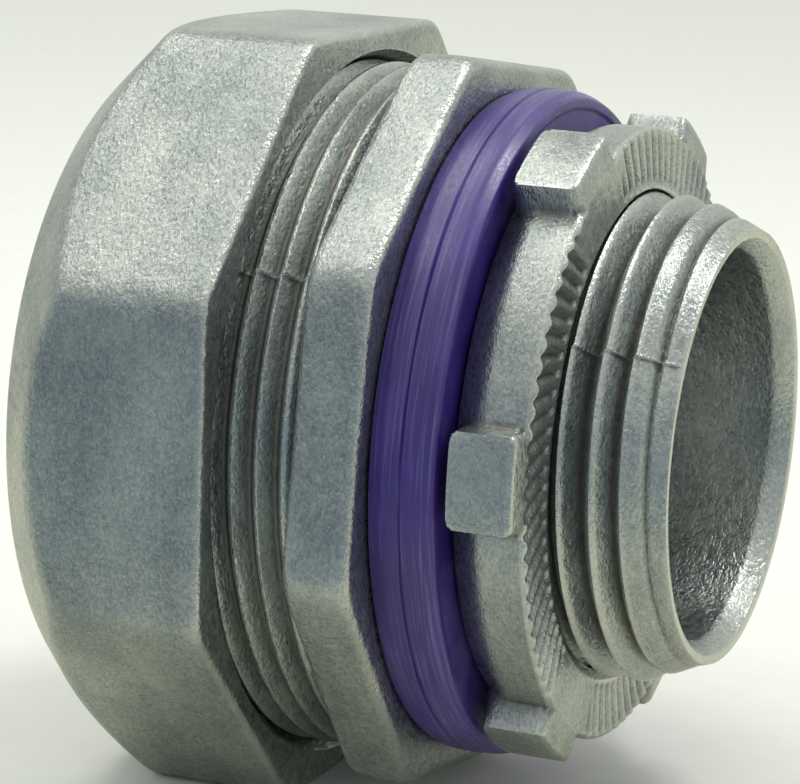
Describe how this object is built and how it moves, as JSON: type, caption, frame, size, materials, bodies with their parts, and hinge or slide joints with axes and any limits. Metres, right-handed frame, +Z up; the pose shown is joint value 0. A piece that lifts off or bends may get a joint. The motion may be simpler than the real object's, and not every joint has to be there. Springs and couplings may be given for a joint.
{
  "type": "liquidtight conduit connector",
  "caption": "Straight liquidtight conduit connector with octagonal gland nut, threaded hub, sealing ring and lugged locknut.",
  "frame": {"origin": "on the common axis, in the plane of the flange face that the sealing ring seats against", "axes": "+X along the axis towards the hub mouth, conduit enters from -X, +Z up with one flat of the gland nut level underneath"},
  "size_m": [0.0433, 0.0526, 0.0526],
  "materials": {
    "cast_zinc": "die-cast zinc, fine sparkling cast texture",
    "nylon": "natural nylon",
    "plated_steel": "zinc-plated steel",
    "violet_plastic": "violet moulded plastic with fine turned lines"
  },
  "bodies": {
    "body": {"connector_body": "cast_zinc"},
    "ferrule": {"ferrule": "plated_steel"},
    "gland_ring": {"gland_ring": "nylon"},
    "gland_nut": {"gland_nut": "cast_zinc"},
    "sealing_ring": {"sealing_ring": "violet_plastic"},
    "locknut": {"locknut": "cast_zinc"}
  },
  "joints": [
    {"name": "gland_nut_turn", "type": "hinge", "parent": "gland_ring", "child": "gland_nut", "pos_m": [0, 0, 0], "axis": [1, 0, 0], "range_deg": [-1080, 720]},
    {"name": "gland_ring_slide", "type": "slide", "parent": "body", "child": "gland_ring", "axis": [1, 0, 0], "range_m": [-0.0055, 0.0037]},
    {"name": "locknut_turn", "type": "hinge", "parent": "sealing_ring", "child": "locknut", "pos_m": [0, 0, 0], "axis": [1, 0, 0], "range_deg": [0, 1440]},
    {"name": "sealing_ring_slide", "type": "slide", "parent": "body", "child": "sealing_ring", "axis": [1, 0, 0], "range_m": [0, 0.0089]},
    {"name": "ferrule_slide", "type": "slide", "parent": "body", "child": "ferrule", "axis": [-1, 0, 0], "range_m": [0, 0.0008]}
  ],
  "couplings": [
    {"joint": "gland_ring_slide", "follows": "gland_nut_turn", "m_per_rad": 0.00028875},
    {"joint": "sealing_ring_slide", "follows": "locknut_turn", "m_per_rad": 0.00035153}
  ]
}
